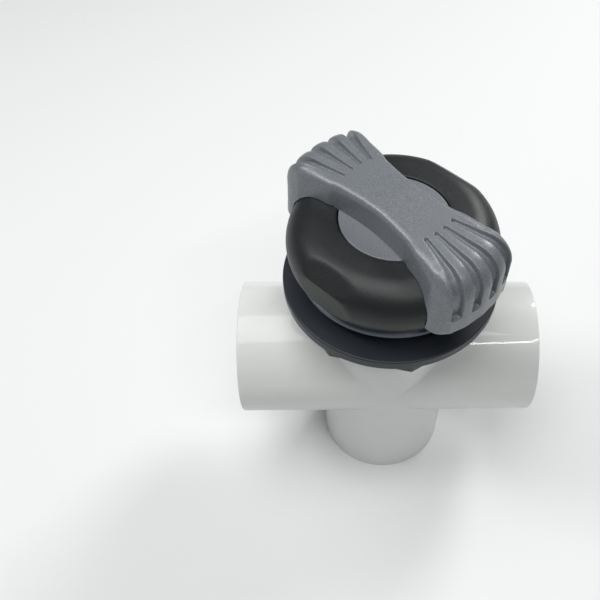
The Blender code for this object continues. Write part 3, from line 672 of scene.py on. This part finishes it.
def ring_points(columns=480):
    """The ring's closed section, turned, with two sloping flats pressed into its shoulder."""
    crest = RING_MIDDLE + RING_SECTION
    wall = RING_SECTION - RING_WALL
    share = np.linspace(0.0, 1.0, 9)[:-1]
    lip_start = RING_INNER + 0.0006
    lip_height = crest - RING_LIP_DIP * (1 - share) ** 2
    lip = np.stack([lip_start + (RING_CENTRE - lip_start) * share, lip_height], -1)
    alpha = np.radians(np.linspace(90, -52, 72))
    outer = section_arc(RING_SECTION, alpha)
    inner = section_arc(wall, np.radians(np.linspace(-50, 88, 20)))
    foot = [
        (outer[-1, 0] - 0.0003, RING_BOTTOM + 0.0004),
        (outer[-1, 0] - 0.0008, RING_BOTTOM),
        (inner[0, 0], RING_BOTTOM),
    ]
    lip_inside = [
        (RING_INNER + RING_WALL, RING_MIDDLE + wall - 0.001),
        (RING_INNER + RING_WALL, RING_BOTTOM),
        (RING_INNER, RING_BOTTOM),
        (RING_INNER, crest - RING_LIP_DIP - 0.0008),
        (RING_INNER + 0.0002, crest - RING_LIP_DIP - 0.0002),
    ]
    profile = np.vstack([lip, outer, foot, inner, lip_inside])
    first = len(lip)
    last = first + len(outer)

    def press(angle, radius, height):
        """Draws the outside in to the flats: a facet sloping at 45 degrees, and an upright one under it."""
        between_facets, outline = THUMB_FLAT_ROUNDING
        direction = alpha[:, None]
        reach = np.full((len(alpha), angle.shape[1]), RING_SECTION)
        for flat in THUMB_FLAT_ANGLES:
            away = angle[first:last] - HANDLE_ANGLE - flat
            level = np.cos(direction) * np.cos(away)
            facing = (level + np.sin(direction)) / math.sqrt(2)
            shift = RING_CENTRE * (1 - np.cos(away)) / math.sqrt(2)
            slope = (RING_SECTION - THUMB_FLAT_DEPTH + shift) / np.maximum(facing, 0.05)
            upright = (THUMB_FLAT_REACH - RING_CENTRE * np.cos(away)) / np.maximum(level, 0.05)
            reach = soft_min(reach, soft_min(slope, upright, between_facets), outline)
        radius[first:last] = RING_CENTRE + reach * np.cos(direction)
        height[first:last] = RING_MIDDLE + reach * np.sin(direction)
        return radius, height

    return lathe_points(profile, handle_angles(columns), press)


def screw_places():
    angles = [HANDLE_ANGLE + math.radians(45 + 90 * quarter) for quarter in range(4)]
    return [(SCREW_CIRCLE * math.cos(angle), SCREW_CIRCLE * math.sin(angle)) for angle in angles]


def clip_angles():
    return [HANDLE_ANGLE + math.radians(90 * quarter) for quarter in range(4)]


def grip_ring():
    ring = weld(skin_object("knob_ring", ring_points(), wrap_rows=True))
    return dress(ring, "ring_black", "handle", "grip_ring", sharp=50.0)


def ring_posts():
    """The hollow posts inside the ring that its screws go into."""
    for index, at in enumerate(screw_places(), 1):
        corners = [
            (POST_BORE, RING_BOTTOM, 0.0),
            (POST_BORE, POST_TOP, 0.0),
            (POST_RADIUS, POST_TOP, 0.0),
            (POST_RADIUS, RING_BOTTOM, 0.0003),
        ]
        profile = rounded(corners, closed=True)
        post = lathe(f"knob_post_{index}", profile, even_angles(48), closed=True)
        post.data.transform(Matrix.Translation((*at, 0.0)))
        dress(post, "ring_black", "handle")


def handle_base():
    """The round plate under the ring, whose grey-blue rim shows, with screw and clip openings."""
    corners = [
        (0.0, HUB_TOP, 0.0),
        (HUB_RADIUS - 0.0015, HUB_TOP, 0.0006),
        (HUB_RADIUS, 0.084, 0.003),
        (HUB_RADIUS, BASE_TOP, 0.0006),
        (BASE_RIM - 0.0017, BASE_TOP, 0.0004),
        (BASE_RIM, BASE_TOP - 0.0008, 0.0006),
        (BASE_RIM, BASE_BOTTOM, 0.0006),
        (HUB_RADIUS + 0.0015, BASE_BOTTOM, 0.0003),
        (HUB_RADIUS + 0.0015, BASE_RECESS, 0.0003),
        (0.0, BASE_RECESS, 0.0),
    ]
    base = lathe("knob_base", rounded(corners), handle_angles(240))
    under = BASE_BOTTOM - 0.0017
    tools = [cylinder_cutter("stem_hole", STEM_HOLE, 0.070, HUB_TOP + 0.001)]
    for at in screw_places():
        tools.append(cylinder_cutter("screw_hole", SCREW_HOLE, under, 0.080, at, 32))
        tools.append(cylinder_cutter("screw_head_hole", SCREW_HEAD_HOLE, under, SCREW_SEAT, at, 40))
    for angle in clip_angles():
        tools.append(box_cutter("clip_slot", (0.0046, 0.0062, 0.010), (0.0194, 0.0, 0.077), angle))
    carve(base, *tools)
    lug_angle = HANDLE_ANGLE + math.pi / 2
    lug = box_cutter("stop_lug", (0.0055, 0.005, 0.004), (0.02675, 0.0, 0.0740), lug_angle)
    carve(base, lug, operation="UNION")
    return dress(base, "grey_trim", "handle", "handle_base")


def bow_half_width(station, height):
    """Half the bow's width: waisted in plan, with drafted sides, and with round lower corners."""
    share = np.minimum(station, 0.048) / BOW_FLARE_REACH
    draft = between(BOW_DRAFT, share * share)
    half = BOW_WAIST + BOW_FLARE * share**1.7 + draft * (BOW_TOP - 0.0008 - height)
    low = np.clip((BOW_BOTTOM + BOW_FOOT_CORNER - height) / BOW_FOOT_CORNER, 0.0, 1.0)
    on_leg = smoothstep(station, *BOW_FOOT_ZONE)
    return half - BOW_FOOT_CORNER * (1 - np.sqrt(1 - low * low)) * on_leg


def bow_stations():
    """Outer and inner profile points (distance from the axis, height) from the middle to a leg's foot."""
    corner_start = BOW_REACH - BOW_CORNER
    top = np.linspace(0.0, corner_start, BOW_TOP_ROWS)
    outer = [(reach, BOW_TOP - BOW_CROWN * reach / corner_start) for reach in top]
    middle = BOW_TOP - BOW_CROWN - BOW_CORNER
    for turn in np.linspace(0.0, math.pi / 2, BOW_CORNER_ROWS)[1:]:
        reach = corner_start + BOW_CORNER * math.sin(turn)
        outer.append((reach, middle + BOW_CORNER * math.cos(turn)))
    outer += [(BOW_REACH, height) for height in np.linspace(middle, BOW_BOTTOM, BOW_LEG_ROWS)[1:]]
    radius = RING_SECTION + BOW_GAP
    reach = RING_CENTRE * np.linspace(0.0, 1.0, BOW_TOP_ROWS)
    sunk = BOW_ROOT * (1 - smoothstep(reach, *BOW_ROOT_ZONE))
    inner = list(zip(reach, RING_MIDDLE + radius - sunk))
    quarter = radius * math.pi / 2
    whole = quarter + RING_MIDDLE - BOW_BOTTOM
    for share in np.linspace(0.0, 1.0, len(outer) - BOW_TOP_ROWS + 1)[1:]:
        travel = share * whole
        turn = min(travel / radius, math.pi / 2)
        height = RING_MIDDLE + radius * math.cos(turn) - max(travel - quarter, 0.0)
        inner.append((RING_CENTRE + radius * math.sin(turn), height))
    return np.array(outer), np.array(inner)


def plan_place(station, across):
    """Where a section's points lie along the bow: straight across it, and round the axis at its ends."""
    bend = smoothstep(station, *BOW_BEND_ZONE)
    arc = np.sqrt(np.maximum(station * station - across * across, 0.0))
    return station - bend * (station - arc)


def groove_centre(station, lean):
    """Where a groove crosses the bow at a station; it starts beyond the axis and leans outward."""
    station = np.maximum(station, GROOVE_START - 0.003)
    across = (station + GROOVE_ORIGIN) * math.tan(lean)
    for _ in range(6):
        across = (plan_place(station, across) + GROOVE_ORIGIN) * math.tan(lean)
    return across


def groove_section(half, share):
    """Offsets across a groove and how much of its depth is reached: a flat floor between steep walls.

    Each step is so many lips and so many walls in from the groove's nominal edge.
    """
    steps = [(-1.0, 0.0, 0.0), (-0.5, 0.0, 0.015), (-0.2, 0.0, 0.06), (0.0, 0.0, 0.14), (0.0, 0.25, 0.33)]
    steps += [(0.0, 0.5, 0.55), (0.0, 0.75, 0.77), (0.0, 1.05, 0.92), (0.0, 1.4, 0.985), (0.0, 1.9, 1.0)]
    left = [(share * (GROOVE_LIP * lip + GROOVE_WALL * wall) - half, sunk) for lip, wall, sunk in steps]
    return [*left, (0.0 * half, 1.0), *[(-offset, sunk) for offset, sunk in reversed(left)]]


def groove_run(station, height, at_end, along):
    """A groove's depth, half width and how far it is drawn in, all along the bow."""
    start = (station - GROOVE_START) / GROOVE_RUN_OUT
    stop = (height - GROOVE_BOTTOM) / GROOVE_RUN_OUT
    near_end = np.clip(np.minimum(start, stop), 0.0, 1.0)
    depth = between(GROOVE_DEPTH, at_end) * smoothstep(near_end, 0.0, 1.0)
    drawn_in = between((GROOVE_END_WIDTH, 1.0), np.sqrt(near_end))
    return depth, between(GROOVE_HALF_WIDTH, along**1.3) * drawn_in, drawn_in


def bow_half():
    """Rows of one half of the bow, from its middle to a foot: closed sections of the same points.

    Each column holds (across, share of the way from the inner to the outer skin, depth sunk).
    """
    outer, inner = bow_stations()
    station, height = outer.T
    tangent = np.gradient(outer, axis=0)
    tangent /= np.linalg.norm(tangent, axis=1)[:, None]
    normal = np.stack([-tangent[:, 1], tangent[:, 0]], -1)
    thickness = np.linalg.norm(outer - inner, axis=1)
    zero, one = np.zeros(len(station)), np.ones(len(station))
    at_end = smoothstep(station, *BOW_LEG_ZONE)
    along = np.clip((station - GROOVE_START) / (BOW_REACH - GROOVE_START), 0.0, 1.0)
    depth, groove_half, drawn_in = groove_run(station, height, at_end, along)
    section = groove_section(groove_half, drawn_in)
    centres = [groove_centre(station, (index - 1.5) * GROOVE_SPREAD) for index in range(4)]
    # The long edges are rounded in an ellipse that stops short of the outermost groove.
    room = bow_half_width(station, height) - (centres[3] + groove_half + GROOVE_LIP + 0.0004)
    edge_width = np.minimum(between(BOW_EDGE_WIDTH, at_end), room)
    edge_drop = np.minimum(between(BOW_EDGE_DROP, at_end), 0.95 * thickness)

    def side_point(up, inset):
        place = inner + (outer - inner) * up[:, None]
        return (-(bow_half_width(place[:, 0], place[:, 1]) - inset), up, zero)

    def rib(left, right):
        """Points over a rib's slightly crowned top."""
        for share in (0.2, 0.4, 0.6, 0.8):
            yield left + (right - left) * share, one, -RIB_CROWN * share * (1 - share) * along

    side = [side_point(share * (1 - edge_drop / thickness), zero) for share in np.linspace(0.0, 1.0, 9)]
    for turn in np.linspace(0.0, math.pi / 2, 9)[1:]:
        up = 1 - edge_drop * (1 - math.sin(turn)) / thickness
        side.append(side_point(up, edge_width * (1 - math.cos(turn))))
    columns = list(side)
    top_edge = side[-1][0]
    previous = top_edge
    for centre in centres:
        columns += rib(previous, centre + section[0][0])
        columns += [(centre + offset, one, depth * sunk) for offset, sunk in section]
        previous = centre - section[0][0]
    columns += rib(previous, -top_edge)
    columns += [(-across, up, sunk) for across, up, sunk in reversed(side)]
    for share in np.linspace(0.0, 1.0, 12)[1:-1]:
        columns.append((-side[0][0] * (1 - 2 * share), zero, zero))
    rows = np.zeros((len(station), len(columns), 3))
    for place, (across, up, sunk) in enumerate(columns):
        flat = inner + (outer - inner) * up[:, None] - normal * sunk[:, None]
        rows[:, place] = xyz(plan_place(flat[:, 0], across), across, flat[:, 1])
    return rows


def rounded_foot(rows, rounding=BOW_FOOT_ROUNDING, steps=5):
    """Draws a leg's last rows in to a flat end with a rounded edge."""
    last = rows[-1]
    middle = last.mean(axis=0)
    reach = np.linalg.norm(last[:, :2] - middle[:2], axis=1)[:, None]
    extra = []
    for turn in np.linspace(0.0, math.pi / 2, steps + 1):
        inset = rounding * (1 - math.cos(turn))
        share = 1 - inset / np.maximum(reach, 2 * rounding)
        section = last.copy()
        section[:, :2] = middle[:2] + (last[:, :2] - middle[:2]) * share
        section[:, 2] = last[:, 2] + rounding * (1 - math.sin(turn))
        extra.append(section)
    body = rows[rows[:, :, 2].mean(axis=1) > middle[2] + rounding]
    return np.concatenate([body, np.stack(extra)])


def opposite_columns(section, turned):
    """For each column of a section, the column of the turned half that meets it in the middle."""
    return [int(np.argmin(np.abs(turned[:, 1:] - point[1:]).sum(axis=1))) for point in section]


def handle_bow():
    """Two halves, the second turned half a circle, in one skin with a flat foot at each end."""
    half = rounded_foot(bow_half())
    other = half[1:] * np.array((-1.0, -1.0, 1.0))
    # The far half was turned half a circle, so its sections run the other way round.
    order = opposite_columns(half[0], other[0])
    rows = np.concatenate([other[::-1][:, order], half])
    cosine, sine = math.cos(HANDLE_ANGLE), math.sin(HANDLE_ANGLE)
    points = rows @ np.array([[cosine, sine, 0.0], [-sine, cosine, 0.0], [0.0, 0.0, 1.0]])
    points[..., 2] += AXIS_HEIGHT
    bow = weld(skin_object("bow_grip", points), fill=True)
    return dress(bow, "bow_grey", "handle", "handle_bow", sharp=55.0)


def handle_disc():
    corners = [
        (0.0, DISC_TOP, 0.0),
        (DISC_RADIUS, DISC_TOP, 0.0004),
        (DISC_RADIUS, DISC_BOTTOM, 0.0003),
        (0.0, DISC_BOTTOM, 0.0),
    ]
    disc = lathe("bow_disc", rounded(corners), handle_angles(240))
    return dress(disc, "bow_grey", "handle")


def handle_clips():
    """Posts from the disc down through the base's slots, each with a hook under the base."""
    length = DISC_BOTTOM + 0.001 - CLIP_FOOT
    middle = (0.0188, 0.0, CLIP_FOOT + length / 2)
    for index, angle in enumerate(clip_angles(), 1):
        post = box_cutter(f"bow_clip_{index}", (0.0024, 0.005, length), middle, angle)
        hook = box_cutter("hook", (0.0030, 0.005, 0.0010), (0.0203, 0.0, CLIP_FOOT + 0.0005), angle)
        carve(post, hook, operation="UNION")
        rounding = post.modifiers.new("rounding", "BEVEL")
        rounding.width = 0.0002
        rounding.segments = 2
        dress(post, "bow_grey", "handle")


def inner_pieces():
    """CAD pieces whose shape is right get the material of their slot."""
    slots = {entry["node"]: entry["material_slot"] for entry in frame["record"]["subparts"]}
    for name, node in frame["nodes"].items():
        if not node.hide_render:
            node.data.materials.clear()
            node.data.materials.append(LOOKS[slots[name]])


# Stage


def floor():
    shape = bmesh.new()
    bmesh.ops.create_grid(shape, x_segments=2, y_segments=2, size=6.0)
    mesh = bpy.data.meshes.new("floor")
    shape.to_mesh(mesh)
    shape.free()
    look, _, _ = principled("pale_floor", (0.80, 0.81, 0.81), 0.9, specular=0.1)
    mesh.materials.append(look)
    new_object("floor", mesh)


def area_light(name, away, width, depth, level):
    """A rectangle of light that faces the handle; a level of 1 is as bright as paper white."""
    light = bpy.data.lights.new(name, "AREA")
    light.shape = "RECTANGLE"
    light.size = width
    light.size_y = depth
    light.energy = level * math.pi * light.size * light.size_y
    made = new_object(name, light)
    made.location = Vector((0.0, 0.0, AXIS_HEIGHT + 0.06)) + Vector(away)
    made.rotation_mode = "QUATERNION"
    made.rotation_quaternion = Vector(away).to_track_quat("Z", "Y")


def lights():
    """Softboxes overhead, at the left and behind, a narrow strip at the right, and dim surroundings."""
    area_light("overhead_softbox", (-0.20, -0.08, 1.12), 0.95, 0.80, 3.8)
    area_light("left_softbox", (-0.84, 0.06, 0.92), 0.27, 0.32, 14.0)
    area_light("back_softbox", (0.64, 0.74, 0.70), 0.38, 0.42, 14.0)
    area_light("right_strip", (0.42, -0.75, 1.27), 0.75, 0.065, 26.0)
    world = bpy.data.worlds.new("studio")
    world.use_nodes = True
    world.node_tree.nodes["Background"].inputs["Color"].default_value = (0.97, 0.99, 1.0, 1.0)
    world.node_tree.nodes["Background"].inputs["Strength"].default_value = 0.12
    bpy.context.scene.world = world
    bpy.context.scene.view_settings.view_transform = "Standard"


def camera():
    """Stands above and slightly left of the front, a little rolled, at the usual 45 mm lens."""
    elevation, azimuth, roll = 0.9224, -0.0904, 0.071
    distance, aim_height = 0.3974, 0.0432
    level = math.cos(elevation)
    back = Vector((math.sin(azimuth) * level, -math.cos(azimuth) * level, math.sin(elevation)))
    right = Vector((0, 0, 1)).cross(back).normalized()
    up = back.cross(right)
    rolled_right = math.cos(roll) * right + math.sin(roll) * up
    rolled_up = -math.sin(roll) * right + math.cos(roll) * up
    lens = bpy.data.cameras.new("camera")
    lens.lens = 45.0
    lens.sensor_width = 36.0
    lens.shift_x = -0.149
    lens.clip_start = 0.01
    made = new_object("camera", lens)
    aim = Vector((0, 0, aim_height + AXIS_HEIGHT))
    turn = Matrix((rolled_right, rolled_up, back)).transposed().to_4x4()
    made.matrix_world = Matrix.Translation(back * distance + aim) @ turn
    bpy.context.scene.camera = made


valve_body()
union_nut()
grip_ring()
ring_posts()
handle_base()
handle_bow()
handle_disc()
handle_clips()
inner_pieces()
floor()
lights()
camera()
